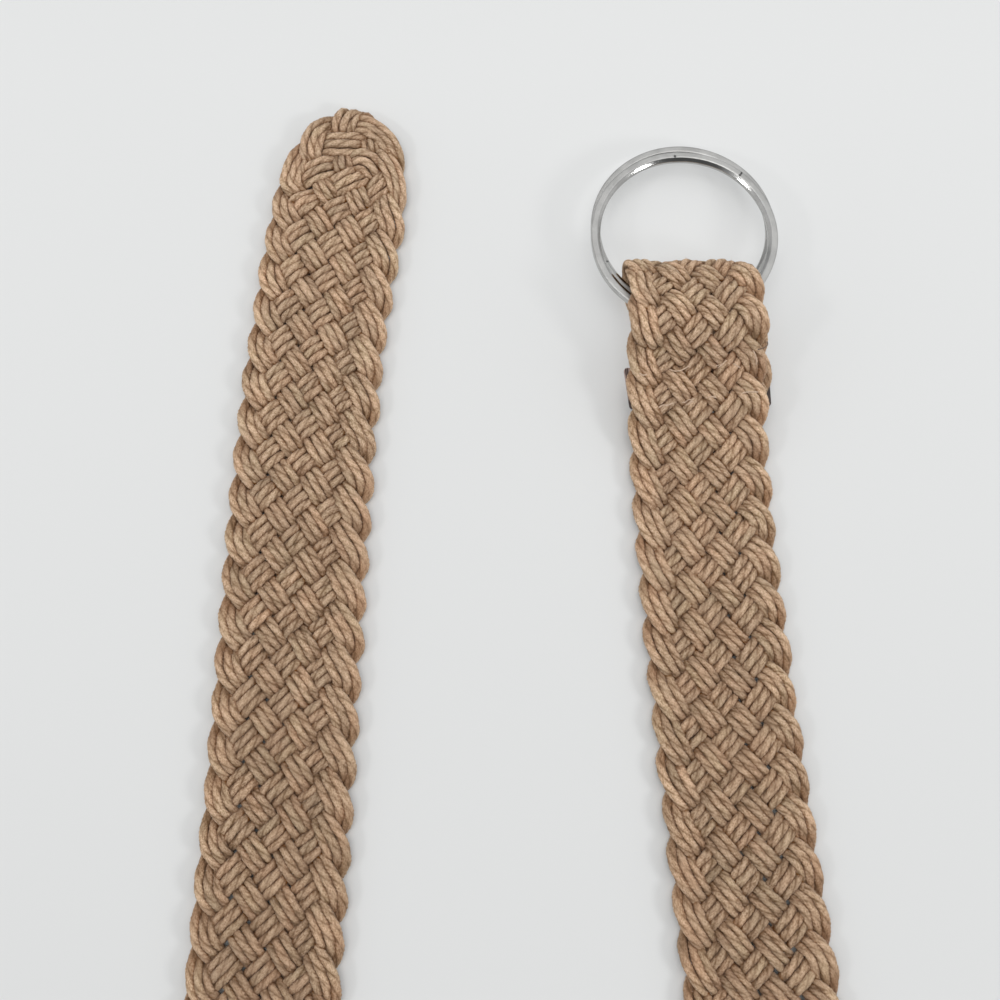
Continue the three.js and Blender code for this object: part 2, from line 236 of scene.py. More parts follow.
# The folded strands round the tip: across, along, weight (1 over, 0 under) and cord
# spacing of the middle cord, from the crossing before the tip to the crossing after it.
# The last number is the row where the strand rolls over the end of the strap.
TIP = {
    "outer": ((1, 4, 1), (6, 5, -1), [
        (-15.9, 25.2, 1, 2.2), (-15.2, 21.8, .95, 2.2), (-14.1, 18.4, .7, 2.2), (-12.4, 15.4, .15, 2.2),
        (-10.0, 13.7, 0, 2.3), (-7.0, 13.3, .25, 2.5), (-5.0, 13.3, .9, 2.6), (-1.1, 13.3, 1, 2.65),
        (2.8, 13.2, .9, 2.6), (4.8, 13.3, .35, 2.5), (7.2, 13.6, 0, 2.3), (9.2, 14.3, .35, 2.2),
        (11.0, 15.8, .9, 2.0), (13.1, 18.6, 1, 1.85), (15.1, 22.3, 1, 1.8), (16.5, 26.0, .95, 1.75),
        (16.9, 29.8, .6, 1.9), (15.8, 32.3, .2, 2.1), (13.7, 32.9, 0, 2.1), (11.8, 34.8, .5, 2.1)], None),
    "inner": ((7, 4, 1), (1, 4, -1), [
        (12.6, 29.2, .75, 2.0), (11.8, 27.3, .05, 2.0), (10.6, 24.8, .15, 2.2), (9.6, 22.2, .9, 2.4),
        (7.4, 19.6, 1, 2.7), (4.8, 18.8, 1, 2.6), (2.6, 19.2, .7, 2.4), (0.8, 19.7, .1, 2.2),
        (-1.0, 20.0, 0, 2.1), (-2.6, 20.4, .15, 2.3), (-4.2, 20.8, .8, 2.5), (-6.5, 21.7, 1, 2.6),
        (-9.0, 23.0, 1, 2.6), (-11.6, 24.8, .8, 2.4), (-13.7, 26.3, .25, 2.2)], None),
    "top": ((5, 4, 1), (2, 5, -1), [
        (3.6, 28.2, .7, 1.9), (1.5, 25.1, 0, 1.9), (0.0, 22.4, .5, 1.9), (-0.7, 20.0, 1, 1.95),
        (-0.9, 17.6, .6, 2.0), (-1.0, 13.4, 0, 2.1), (-1.1, 9.8, .45, 2.3), (-0.9, 7.6, 1, 2.45),
        (-0.5, 5.6, 1.08, 2.5), (0.2, 4.1, 1.04, 2.6), (0.9, 3.1, .95, 2.7), (1.7, 2.55, .75, 2.75), (2.5, 2.4, .5, 2.8),
        (3.4, 2.6, .28, 2.8), (4.2, 3.3, .10, 2.75), (5.0, 4.5, 0, 2.6), (6.3, 7.2, 0, 2.3), (7.3, 10.3, .1, 1.95),
        (7.8, 12.6, .85, 1.9), (8.0, 15.2, .85, 1.9), (8.0, 18.0, 0, 2.0), (7.4, 20.6, 0, 2.2), (6.3, 22.5, .1, 2.4),
        (4.7, 23.9, .8, 2.5), (2.0, 25.3, 1, 2.55), (-1.6, 27.5, .85, 2.4), (-4.7, 29.4, 0, 2.2), (-7.7, 32.0, .6, 2.1)], 12),
    "side": ((3, 4, 1), (4, 5, -1), [
        (-6.5, 26.4, .7, 1.9), (-8.4, 22.9, 0, 2.0), (-10.0, 19.6, .35, 2.1), (-10.6, 16.8, 1, 2.15),
        (-10.6, 13.6, 1, 2.15), (-9.8, 10.7, 1, 2.15), (-8.2, 8.3, .85, 2.15), (-5.9, 6.8, .45, 2.1),
        (-3.0, 6.1, .25, 2.1), (0.2, 5.8, .25, 2.0), (3.0, 6.0, .4, 2.0), (5.4, 6.6, .85, 2.0),
        (8.2, 7.8, 1, 2.0), (11.0, 9.9, 1, 2.0), (13.4, 12.7, .95, 2.0), (14.9, 15.9, .75, 2.0),
        (15.5, 18.8, .3, 2.0), (15.3, 21.2, 0, 2.0), (14.3, 23.2, .15, 2.1), (13.0, 24.9, .75, 2.3),
        (11.2, 27.0, 1, 2.3), (8.7, 29.2, .75, 2.2), (6.3, 31.3, 0, 2.1), (3.0, 33.2, .5, 2.1)], None),
}


def smooth(x, sigma):
    n = max(1, int(round(3 * sigma)))
    k = np.exp(-0.5 * (np.arange(-n, n + 1) / sigma) ** 2)
    k /= k.sum()
    p = np.pad(x, (n, n), mode="edge")
    return np.convolve(p, k, mode="valid")


def evenly(rows, step):
    """Rows resampled every step mm along the strand, its rise and fall included."""
    scale = np.array([1.0, 1.0, DROP])
    d = np.linalg.norm(np.diff(rows[:, :3] * scale, axis=0), axis=1)
    keep = np.concatenate([[True], d > 1e-6])
    rows = rows[keep]
    s = np.concatenate([[0], np.cumsum(np.linalg.norm(np.diff(rows[:, :3] * scale, axis=0), axis=1))])
    n = int(s[-1] / step)
    at = np.linspace(0, s[-1], n + 1)
    return np.stack([np.interp(at, s, rows[:, c]) for c in range(rows.shape[1])], -1), at


def curve_through(points, per=8):
    """Catmull-Rom curve through the rows of points."""
    p = np.array(points, float)
    p = np.vstack([2 * p[0] - p[1], p, 2 * p[-1] - p[-2]])
    out = []
    for k in range(1, len(p) - 2):
        for t in np.linspace(0, 1, per, endpoint=False):
            a, b, c, d = p[k - 1:k + 3]
            out.append(0.5 * (2 * b + (c - a) * t + (2 * a - 5 * b + 4 * c - d) * t * t
                              + (3 * b - 3 * c + d - a) * t**3))
    out.append(p[-2])
    return np.array(out)


def strand_path(name):
    """Across, along, weight, cord spacing and the cords' side (+1, or -1 past a roll over the end)."""
    down, up, middle, roll = TIP[name]
    first, second = walk(*down), walk(*up)
    bend = curve_through([first[0]] + [np.array(m, float) for m in middle] + [second[0]])
    bend[:, 2] = np.clip(bend[:, 2], 0, 1.1)
    rows = np.vstack([first[::-1], bend[1:-1], second])
    turned = np.ones(len(rows))
    if roll is not None:
        turned[len(first) + (roll + 1) * 8 - 1:] = -1
    rows = np.column_stack([rows, turned])
    rows, s = evenly(rows, 0.5)
    # directions taken before the path is smoothed, and eased across the roll
    ta, tu = np.gradient(rows[:, 1]), np.gradient(rows[:, 0])
    side = np.where(rows[:, 4] > 0, 1.0, -1.0)
    n = np.maximum(np.hypot(tu, ta), 1e-9)
    off = np.stack([-ta / n * side, tu / n * side], -1)
    if roll is not None:
        at = s[np.argmax(rows[:, 4] < 0)]
        ease = np.exp(-((s - at) / 3.0) ** 2)[:, None]
        off = off * (1 - ease) + np.array([0.99, 0.14]) * ease
    for c in (0, 1):
        rows[:, c] = smooth(rows[:, c], 1.7)
        off[:, c] = smooth(off[:, c], 2.2)
    off /= np.linalg.norm(off, axis=1)[:, None]
    rows[:, 2] = smooth(rows[:, 2], 0.9)
    rows[:, 3] = smooth(rows[:, 3], 4.0)
    return np.column_stack([rows[:, :4], off])


STRANDS = ["outer", "inner", "top", "side"]


def wander(n, scale, sigma):
    """Smooth seeded noise of about the given size."""
    x = smooth(rng.standard_normal(n), sigma)
    return x / max(x.std(), 1e-9) * scale


def to_ring(p, centre):
    """Points (mm) in a ring's own frame: its axis along z."""
    return (p - np.array(centre)) @ RING_TURN


def clear_of_rings(p, radius):
    """The path moved out of the rings, eased along its length."""
    for _ in range(4):
        push = np.zeros_like(p)
        for centre in RING_CENTRES.values():
            q = to_ring(p, centre)
            r = np.hypot(q[:, 0], q[:, 1])
            near = np.stack([np.clip(r, RING_IN, RING_OUT), np.clip(q[:, 2], -RING_HALF, RING_HALF)], -1)
            off = np.stack([r, q[:, 2]], -1) - near
            d = np.linalg.norm(off, axis=1)
            inside = d < 1e-6
            dz = np.where(q[:, 2] > 0, 1.0, -1.0)
            off = np.where(inside[:, None], np.stack([0 * r, dz], -1), off / np.maximum(d, 1e-6)[:, None])
            d = np.where(inside, np.abs(q[:, 2]) - RING_HALF, d)
            need = np.maximum(radius - d, 0)
            move = np.stack([off[:, 0] * q[:, 0] / np.maximum(r, 1e-6), off[:, 0] * q[:, 1] / np.maximum(r, 1e-6), off[:, 1]], -1)
            push += (move * need[:, None]) @ RING_TURN.T
        if not np.any(push):
            break
        p = p + np.stack([smooth(push[:, c], 2.0) * 1.25 for c in range(3)], -1)
    return p


def cord_path(rows, k):
    """Middle line of one cord of a strand, with its local frame, all in the row frame (mm)."""
    u, a, w, gap, off_u, off_a = rows.T
    tu, ta = np.gradient(u), np.gradient(a)
    n = np.maximum(np.hypot(tu, ta), 1e-9)
    lean = smooth(np.clip(2 * tu * ta / n**2, -1, 1), 3)
    # the outer cords of a block bow out in its middle
    bow = smooth(2 * w - 1, 3.0)
    spacing = gap * (1 + 0.06 * bow + 0.04 * (1 - np.abs(np.clip(bow, -1, 1))))
    shift = k * spacing
    uk = u + off_u * shift + wander(len(u), 0.11, 9)
    ak = a + off_a * shift + wander(len(u), 0.08, 9)
    # the cords of a slanting strand reach a crossing one after another
    s = np.concatenate([[0], np.cumsum(np.hypot(np.diff(u), np.diff(a)))])
    wk = np.interp(s - 0.231 * lean * shift, s, w)
    crown = np.interp(u, CROWN_AT, CROWN)
    low = np.maximum(crown - DROP, LOWEST)
    arch = np.clip(0.5 + 0.5 * smooth(2 * wk - 1, 3.2), 0, 1)
    h = low + (crown - low) * (0.72 * wk + 0.28 * arch) + 0.10 * wk + wander(len(u), 0.10, 7)
    if k:
        h = h - 0.30 * wk
    h = np.maximum(smooth(h, 1.0), LOWEST - 0.1)
    centre, across, normal, tangent = strap_frame(ak)
    p = centre + across * uk[:, None] + normal * (h + 0.10)[:, None]
    p = np.stack([smooth(p[:, c], 0.9) for c in range(3)], -1)
    p = clear_of_rings(p, 0.5 * CORD + 0.12)
    p[:, 2] = np.maximum(p[:, 2], 0.55 * CORD)
    keep = (ak < TOTAL - 0.8)
    first, last = np.argmax(keep), len(keep) - np.argmax(keep[::-1])
    sl = slice(first, last)
    # the strap is paler at its edges, and painted shade darkens its lower columns
    column = (1 + 0.11 * np.clip((np.abs(uk) - 11) / 6, 0, 1) + 0.13 * np.clip((np.abs(uk) - 16.5) / 2.5, 0, 1) - 0.11 * np.exp(-((uk - 9.8) / 1.9) ** 2)
              + 0.06 * np.exp(-((uk - 4.5) / 2.2) ** 2) - 0.06 * np.exp(-((uk + 0.5) / 1.6) ** 2))
    column *= 1 + wander(len(u), 0.065, 9)
    # painted light: each block paler on its crest and darker at its ends
    crest = 0.12 * (2 * arch - 1)
    return p[sl], normal[sl], spacing[sl], wk[sl], (crown - 0.25 - h)[sl], (h - low - 0.25)[sl], column[sl], crest[sl]


SIDES = 12
PLY_PITCH = 14.0
PROFILE = np.array([0.905, 0.985, 1.02, 0.985] * 3)   # three plies with a groove between them


def resample(step, p, *others):
    s = np.concatenate([[0], np.cumsum(np.linalg.norm(np.diff(p, axis=0), axis=1))])
    n = int(round(s[-1] / step))
    at = np.linspace(0, s[-1], n + 1)
    get = lambda x: (np.stack([np.interp(at, s, x[:, c]) for c in range(x.shape[1])], -1)
                     if x.ndim == 2 else np.interp(at, s, x))
    return (get(p), *[get(o) for o in others], at)


def contact_shade(points, out, owner):
    """Painted shade for each surface point (rows, sides): 0 where it lies free, 1 where another cord touches it."""
    n, sides = points.shape[:2]
    result = np.zeros((n, sides))
    for start in range(0, n, 30):
        sl = slice(start, min(n, start + 30))
        lo, hi = points[sl].min((0, 1)) - 3.4, points[sl].max((0, 1)) + 3.4
        near = ((SPINE > lo) & (SPINE < hi)).all(1)
        near &= (SPINE_OWNER != owner) | (SPINE_ROW < start - 5) | (SPINE_ROW > start + 35)
        if not near.any():
            continue
        c = SPINE[near]
        c2 = (c * c).sum(1)
        for reach, weight in ((0.15, 1.0), (0.60, 0.70), (1.40, 0.45)):
            q = (points[sl] + out[sl] * reach).reshape(-1, 3)
            d2 = (q * q).sum(1)[:, None] + c2[None] - 2 * q @ c.T
            gap = np.sqrt(np.maximum(d2.min(1), 0)) - 0.51 * CORD
            blocked = weight * np.clip(1 - gap / 0.30, 0, 1)
            result[sl] = np.maximum(result[sl], blocked.reshape(-1, sides))
    return result


def tube_mesh(name, p, normal, lateral_r, normal_r, phase, profile, at, index, drop, rise, painted_light_and_tone, bake_rows=190):
    """A closed tube. Its faces run along the plies; CordUV holds turn and length, OFBake a strip layout."""
    n, sides = len(p), len(profile)
    t = np.gradient(p, axis=0)
    t /= np.linalg.norm(t, axis=1)[:, None]
    # a frame carried along the cord, so that the plies run on through every bend
    e1 = np.zeros_like(p)
    e1[0] = np.cross(t[0], normal[0])
    e1[0] /= np.linalg.norm(e1[0])
    for q in range(1, n):
        v = e1[q - 1] - (e1[q - 1] @ t[q]) * t[q]
        e1[q] = v / math.sqrt(v @ v)
    e2 = np.cross(e1, t)
    ang = phase[:, None] + 2 * math.pi * np.arange(sides) / sides
    r = profile[None, :]
    d = e1[:, None] * np.cos(ang)[..., None] + e2[:, None] * np.sin(ang)[..., None]
    # flattened in the plane of the strap
    nn = normal - (normal * t).sum(1)[:, None] * t
    sure = np.linalg.norm(nn, axis=1)
    nn /= np.maximum(sure, 1e-6)[:, None]
    up = (d * nn[:, None]).sum(2)
    ratio = 1 + (normal_r / lateral_r - 1) * np.clip(sure * 1.6 - 0.4, 0, 1)
    radius = lateral_r[:, None] / np.sqrt(1 - up**2 + (up / ratio[:, None]) ** 2)
    co = p[:, None] + d * (radius * r)[..., None]
    ends = np.stack([p[0] - t[0] * 0.35, p[-1] + t[-1] * 0.35])
    verts = np.concatenate([co.reshape(-1, 3), ends]) / 1000.0
    row = np.arange(n - 1)[:, None] * sides
    m = np.arange(sides)[None]
    m2 = (m + 1) % sides
    quads = np.stack([row + m, row + m2, row + sides + m2, row + sides + m], -1).reshape(-1, 4)
    k = np.arange(sides)
    caps = np.concatenate([
        np.stack([(k + 1) % sides, k, np.full(sides, n * sides)], -1),
        np.stack([(n - 1) * sides + k, (n - 1) * sides + (k + 1) % sides, np.full(sides, n * sides + 1)], -1)])
    nq = len(quads)
    mesh = bpy.data.meshes.new(name)
    mesh.vertices.add(len(verts))
    mesh.vertices.foreach_set("co", verts.astype(np.float32).ravel())
    loops = np.concatenate([quads.ravel(), caps.ravel()])
    mesh.loops.add(len(loops))
    mesh.loops.foreach_set("vertex_index", loops.astype(np.int32))
    mesh.polygons.add(nq + len(caps))
    starts = np.concatenate([np.arange(nq) * 4, nq * 4 + np.arange(len(caps)) * 3])
    mesh.polygons.foreach_set("loop_start", starts.astype(np.int32))
    mesh.polygons.foreach_set("use_smooth", np.ones(nq + len(caps), bool))
    mesh.update(calc_edges=True)
    # painted shade where another cord touches the surface or lies near it
    crevice_shade = contact_shade(co, d, index)
    # painted shade also where the cord dives under the next strand, seen from either face
    dive = np.where(up > 0, drop[:, None], rise[:, None])
    crevice_shade = np.clip(np.maximum(crevice_shade, 0.62 * np.clip(dive / 1.5, 0, 1) * np.clip(np.abs(up) * 2 - 0.4, 0, 1)), 0, 1)
    # painted light: paler on the crest of each block and darker at its ends, from either face
    shade = painted_light_and_tone[0][:, None] * (1 + painted_light_and_tone[1][:, None] * np.clip(up * 2, -1, 1))
    attr = mesh.attributes.new("painted_light_and_tone", "FLOAT", "POINT")
    attr.data.foreach_set("value", np.concatenate([shade.ravel(), [1.0, 1.0]]).astype(np.float32))
    attr = mesh.attributes.new("crevice_shade", "FLOAT", "POINT")
    attr.data.foreach_set("value", np.concatenate([crevice_shade.ravel(), [1.0, 1.0]]).astype(np.float32))
    # turn round the cord and length along it
    uv = mesh.uv_layers.new(name="CordUV")
    q = np.empty((n - 1, sides, 4, 2))
    q[..., 0, 0] = m / sides
    q[..., 1, 0] = (m + 1) / sides
    q[..., 2, 0] = (m + 1) / sides
    q[..., 3, 0] = m / sides
    base = at / 1000.0 + index * 9.0
    q[..., 0, 1] = q[..., 1, 1] = base[:-1, None]
    q[..., 2, 1] = q[..., 3, 1] = base[1:, None]
    c = np.zeros((2 * sides, 3, 2))
    c[..., 0] = 0.5
    c[:sides, :, 1] = base[0]
    c[sides:, :, 1] = base[-1]
    uv.data.foreach_set("uv", np.concatenate([q.ravel(), c.ravel()]).astype(np.float32))
    # strips side by side in the unit square
    strips = max(1, math.ceil((n - 1) / bake_rows))
    per = math.ceil((n - 1) / strips)
    wide = 1.0 / (strips + 0.6)
    bake = mesh.uv_layers.new(name="OFBake")
    seg = np.arange(n - 1) // per
    pos = np.arange(n - 1) - seg * per
    x0 = seg * wide + 0.06 * wide
    y0 = 0.004 + 0.988 * pos / per
    y1 = 0.004 + 0.988 * (pos + 1) / per
    b = np.empty((n - 1, sides, 4, 2))
    xl = x0[:, None] + 0.88 * wide * m / sides
    xr = x0[:, None] + 0.88 * wide * (m + 1) / sides
    b[..., 0, 0] = xl
    b[..., 3, 0] = xl
    b[..., 1, 0] = xr
    b[..., 2, 0] = xr
    b[..., 0, 1] = b[..., 1, 1] = y0[:, None]
    b[..., 2, 1] = b[..., 3, 1] = y1[:, None]
    cap = np.empty((2, sides, 3, 2))
    for e in range(2):
        cx, cy = strips * wide + 0.3 * wide, 0.05 + 0.1 * e
        for kk in range(sides):
            a0, a1 = 2 * math.pi * kk / sides, 2 * math.pi * (kk + 1) / sides
            rad = 0.25 * wide
            pa = (cx + rad * math.cos(a0), cy + rad * math.sin(a0))
            pb = (cx + rad * math.cos(a1), cy + rad * math.sin(a1))
            cap[e, kk] = [pb, pa, (cx, cy)] if e == 0 else [pa, pb, (cx, cy)]
    bake.data.foreach_set("uv", np.concatenate([b.ravel(), cap.ravel()]).astype(np.float32))
    mesh.uv_layers.active = uv
    mesh.validate()
    ob = bpy.data.objects.new(name, mesh)
    bpy.context.scene.collection.objects.link(ob)
    return ob


# ---------------------------------------------------------------- materials
def material(name):
    m = bpy.data.materials.new(name)
    m.use_nodes = True
    tree = m.node_tree
    tree.nodes.clear()
    out = tree.nodes.new("ShaderNodeOutputMaterial")
    bsdf = tree.nodes.new("ShaderNodeBsdfPrincipled")
    tree.links.new(bsdf.outputs[0], out.inputs["Surface"])
    return m, tree, bsdf


def node(tree, kind, inputs=None, **props):
    n = tree.nodes.new(kind)
    for k, v in props.items():
        setattr(n, k, v)
    for k, v in (inputs or {}).items():
        if isinstance(v, bpy.types.NodeSocket):
            tree.links.new(v, n.inputs[k])
        else:
            n.inputs[k].default_value = v
    return n


def calc(tree, op, a, b=None, c=None, clamp=False):
    n = tree.nodes.new("ShaderNodeMath")
    n.operation = op
    n.use_clamp = clamp
    for k, v in enumerate((a, b, c)):
        if v is None:
            continue
        if isinstance(v, bpy.types.NodeSocket):
            tree.links.new(v, n.inputs[k])
        else:
            n.inputs[k].default_value = v
    return n.outputs[0]


def ramp(tree, fac, stops):
    n = tree.nodes.new("ShaderNodeValToRGB")
    tree.links.new(fac, n.inputs[0])
    el = n.color_ramp.elements
    while len(el) < len(stops):
        el.new(0.5)
    for e, (pos, col) in zip(el, stops):
        e.position = pos
        e.color = (*col, 1.0)
    return n.outputs[0]


def mix(tree, fac, a, b, blend="MIX"):
    n = tree.nodes.new("ShaderNodeMix")
    n.data_type = "RGBA"
    n.blend_type = blend
    for sock, v in ((n.inputs[0], fac), (n.inputs[6], a), (n.inputs[7], b)):
        if isinstance(v, bpy.types.NodeSocket):
            tree.links.new(v, sock)
        else:
            sock.default_value = v if not isinstance(v, tuple) or len(v) == 4 else (*v, 1.0)
    return n.outputs[2]


def cotton(name, painted_light_and_tone=(1.0, 1.0, 1.0)):
    m, tree, bsdf = material(name)
    uv = node(tree, "ShaderNodeUVMap", uv_map="CordUV").outputs[0]
    sep = node(tree, "ShaderNodeSeparateXYZ", {0: uv})
    turn, length = sep.outputs[0], sep.outputs[1]
    obj = node(tree, "ShaderNodeTexCoord").outputs["Object"]
    # grooves between the three plies, at turn 0, 1/3 and 2/3
    ply = calc(tree, "ABSOLUTE", calc(tree, "SINE", calc(tree, "MULTIPLY", turn, 3 * math.pi)))
    crest = calc(tree, "POWER", ply, 0.42)
    # yarn fibres run nearly along the cord, across the plies
    true_turn = calc(tree, "ADD", turn, calc(tree, "MULTIPLY", length, 1000.0 / PLY_PITCH * 1.15))
    ang = calc(tree, "MULTIPLY", true_turn, 2 * math.pi)
    fibre_at = node(tree, "ShaderNodeCombineXYZ", {
        0: calc(tree, "MULTIPLY", calc(tree, "COSINE", ang), 2.6),
        1: calc(tree, "MULTIPLY", calc(tree, "SINE", ang), 2.6),
        2: calc(tree, "MULTIPLY", length, 420.0)}).outputs[0]
    fibre = node(tree, "ShaderNodeTexNoise", {"Vector": fibre_at, "Scale": 2.1, "Detail": 3.0, "Roughness": 0.62}).outputs[0]
    fuzz = node(tree, "ShaderNodeTexNoise", {"Vector": obj, "Scale": 2150.0, "Detail": 2.5, "Roughness": 0.65}).outputs[0]
    lump = node(tree, "ShaderNodeTexNoise", {"Vector": obj, "Scale": 520.0, "Detail": 1.0, "Roughness": 0.5}).outputs[0]
    patchy = node(tree, "ShaderNodeTexNoise", {"Vector": obj, "Scale": 34.0, "Detail": 2.0, "Roughness": 0.5}).outputs[0]
    each = node(tree, "ShaderNodeTexNoise", {"Vector": node(tree, "ShaderNodeCombineXYZ", {
        0: calc(tree, "MULTIPLY", length, 26.0)}).outputs[0], "Scale": 1.0, "Detail": 1.0}).outputs[0]
    # colour
    light, dark = (0.694, 0.517, 0.371), (0.315, 0.201, 0.119)
    f = calc(tree, "ADD", calc(tree, "MULTIPLY", fuzz, 0.46), calc(tree, "MULTIPLY", fibre, 0.54))
    base = ramp(tree, f, [(0.40, dark), (0.475, (0.525, 0.366, 0.240)), (0.56, light)])
    # painted shade darkens the grooves between the plies; the grooves fade in and out along the cord
    groove = node(tree, "ShaderNodeMapRange", {"Value": lump, "From Min": 0.36, "From Max": 0.62, "To Min": 0.36, "To Max": 0.96}).outputs[0]
    base = mix(tree, calc(tree, "MULTIPLY", calc(tree, "SUBTRACT", 1.0, crest), calc(tree, "MULTIPLY", groove, 1.6), clamp=True), base, (0.200, 0.112, 0.053))
    base = mix(tree, calc(tree, "MULTIPLY", calc(tree, "SUBTRACT", patchy, 0.40, clamp=True), 0.9), base, (0.480, 0.318, 0.208))
    base = mix(tree, calc(tree, "MULTIPLY", calc(tree, "SUBTRACT", each, 0.46, clamp=True), 1.1), base, (0.665, 0.490, 0.350))
    # painted shade: the strap grows darker towards low y, where the light falls off
    along = node(tree, "ShaderNodeSeparateXYZ", {0: obj}).outputs[1]
    wear_and_shade = node(tree, "ShaderNodeMapRange", {"Value": along, "From Min": 0.19, "From Max": -0.02, "To Min": 0.0, "To Max": 1.0}).outputs[0]
    base = mix(tree, wear_and_shade, base, mix(tree, 1.0, base, (0.755, 0.732, 0.71), blend="MULTIPLY"))
    across = node(tree, "ShaderNodeSeparateXYZ", {0: obj}).outputs[0]
    left = node(tree, "ShaderNodeMapRange", {"Value": across, "From Min": 0.01, "From Max": -0.04, "To Min": 0.0, "To Max": 1.0}).outputs[0]
    base = mix(tree, left, base, mix(tree, 1.0, base, (0.974, 0.973, 0.972), blend="MULTIPLY"))
    hue = node(tree, "ShaderNodeTexNoise", {"Vector": node(tree, "ShaderNodeCombineXYZ", {
        0: calc(tree, "MULTIPLY", length, 70.0)}).outputs[0], "Scale": 1.0, "Detail": 2.0}).outputs[0]
    base = mix(tree, 1.0, base, ramp(tree, hue, [(0.36, (1.0, 0.945, 0.92)), (0.50, (0.985, 0.98, 0.975)), (0.64, (0.96, 0.995, 0.975))]), blend="MULTIPLY")
    # painted shade: darker where other cords touch or the cord dives under the next strand
    crevice_shade = node(tree, "ShaderNodeAttribute", attribute_name="crevice_shade").outputs["Fac"]
    crevice_shade_fac = calc(tree, "POWER", crevice_shade, 1.0)
    base = mix(tree, calc(tree, "MULTIPLY", crevice_shade_fac, 1.0, clamp=True), base, mix(tree, 1.0, base, (0.30, 0.165, 0.055), blend="MULTIPLY"))
    # painted light on the block crests and painted shade in the lower columns, with random variation along each cord
    base = mix(tree, 1.0, base, node(tree, "ShaderNodeAttribute", attribute_name="painted_light_and_tone").outputs["Fac"], blend="MULTIPLY")
    tree.links.new(base, bsdf.inputs["Base Color"])
    # relief
    height = calc(tree, "ADD", calc(tree, "MULTIPLY", calc(tree, "MULTIPLY", crest, groove), 0.30),
                  calc(tree, "ADD", calc(tree, "MULTIPLY", fibre, 0.22),
                       calc(tree, "ADD", calc(tree, "MULTIPLY", fuzz, 0.22), calc(tree, "MULTIPLY", lump, 0.20))))
    bump = node(tree, "ShaderNodeBump", {"Height": height, "Strength": 0.85, "Distance": 0.0009})
    tree.links.new(bump.outputs[0], bsdf.inputs["Normal"])
    bsdf.inputs["Roughness"].default_value = 0.92
    bsdf.inputs["Specular IOR Level"].default_value = 0.12
    bsdf.inputs["Sheen Weight"].default_value = 0.13
    bsdf.inputs["Sheen Roughness"].default_value = 0.6
    bsdf.inputs["Sheen Tint"].default_value = (0.93, 0.83, 0.72, 1.0)
    return m


def metal(name, base):
    m, tree, bsdf = material(name)
    obj = node(tree, "ShaderNodeTexCoord").outputs["Object"]
    zone = node(tree, "ShaderNodeAttribute", attribute_name="zone").outputs["Fac"]
    wear = node(tree, "ShaderNodeTexNoise", {"Vector": obj, "Scale": 160.0, "Detail": 4.0, "Roughness": 0.6}).outputs[0]
    grain = node(tree, "ShaderNodeTexNoise", {"Vector": obj, "Scale": 1700.0, "Detail": 2.0, "Roughness": 0.6}).outputs[0]
    turned = node(tree, "ShaderNodeUVMap", uv_map="RingUV").outputs[0]
    lines = node(tree, "ShaderNodeTexNoise", {
        "Vector": node(tree, "ShaderNodeMapping", {"Vector": turned, "Scale": (30.0, 900.0, 1.0)}).outputs[0],
        "Scale": 1.0, "Detail": 3.0, "Roughness": 0.65}).outputs[0]
    r0 = calc(tree, "ADD", calc(tree, "MULTIPLY", wear, 0.16), 0.08)
    r1 = calc(tree, "ADD", calc(tree, "MULTIPLY", wear, 0.26), 0.40)
    rough = node(tree, "ShaderNodeMix", {0: zone, 2: r0, 3: r1}).outputs[0]
    tree.links.new(rough, bsdf.inputs["Roughness"])
    col = ramp(tree, wear, [(0.38, tuple(0.88 * c for c in base)), (0.62, tuple(min(1, 1.10 * c) for c in base))])
    # turning lines on the worn faces, a pit and a nick on the upper one and the seam of the lower one
    streak = ramp(tree, lines, [(0.38, (0.84, 0.84, 0.84)), (0.50, (1.0, 1.0, 1.0)), (0.62, (1.10, 1.10, 1.10))])
    col = mix(tree, calc(tree, "MULTIPLY", zone, 0.85), col, mix(tree, 1.0, col, streak, blend="MULTIPLY"))
    level = node(tree, "ShaderNodeMapping", {"Vector": obj, "Scale": (1.0, 1.0, 0.0)}).outputs[0]
    for spot, size in (((0.04897, 0.2233, 0.0), 0.00028), ((0.0684, 0.21678, 0.0), 0.00026), ((0.0688, 0.2173, 0.0), 0.00022), ((0.0691, 0.2178, 0.0), 0.00026),
                       ((0.02746, 0.18927, 0.0), 0.00024), ((0.02790, 0.18949, 0.0), 0.00018), ((0.02835, 0.18971, 0.0), 0.00015)):
        off = node(tree, "ShaderNodeVectorMath", {0: level, 1: spot}, operation="DISTANCE").outputs["Value"]
        dark = node(tree, "ShaderNodeMapRange", {"Value": off, "From Min": size, "From Max": size * 1.8, "To Min": 0.9, "To Max": 0.0}).outputs[0]
        col = mix(tree, dark, col, (0.03, 0.03, 0.03))
    tree.links.new(col, bsdf.inputs["Base Color"])
    height = calc(tree, "ADD", calc(tree, "MULTIPLY", lines, 0.6), calc(tree, "MULTIPLY", grain, 0.35))
    strength = calc(tree, "ADD", 0.03, calc(tree, "MULTIPLY", zone, 0.12))
    bump = node(tree, "ShaderNodeBump", {"Height": height, "Strength": strength, "Distance": 0.0004})
    tree.links.new(bump.outputs[0], bsdf.inputs["Normal"])
    bsdf.inputs["Metallic"].default_value = 1.0
    return m


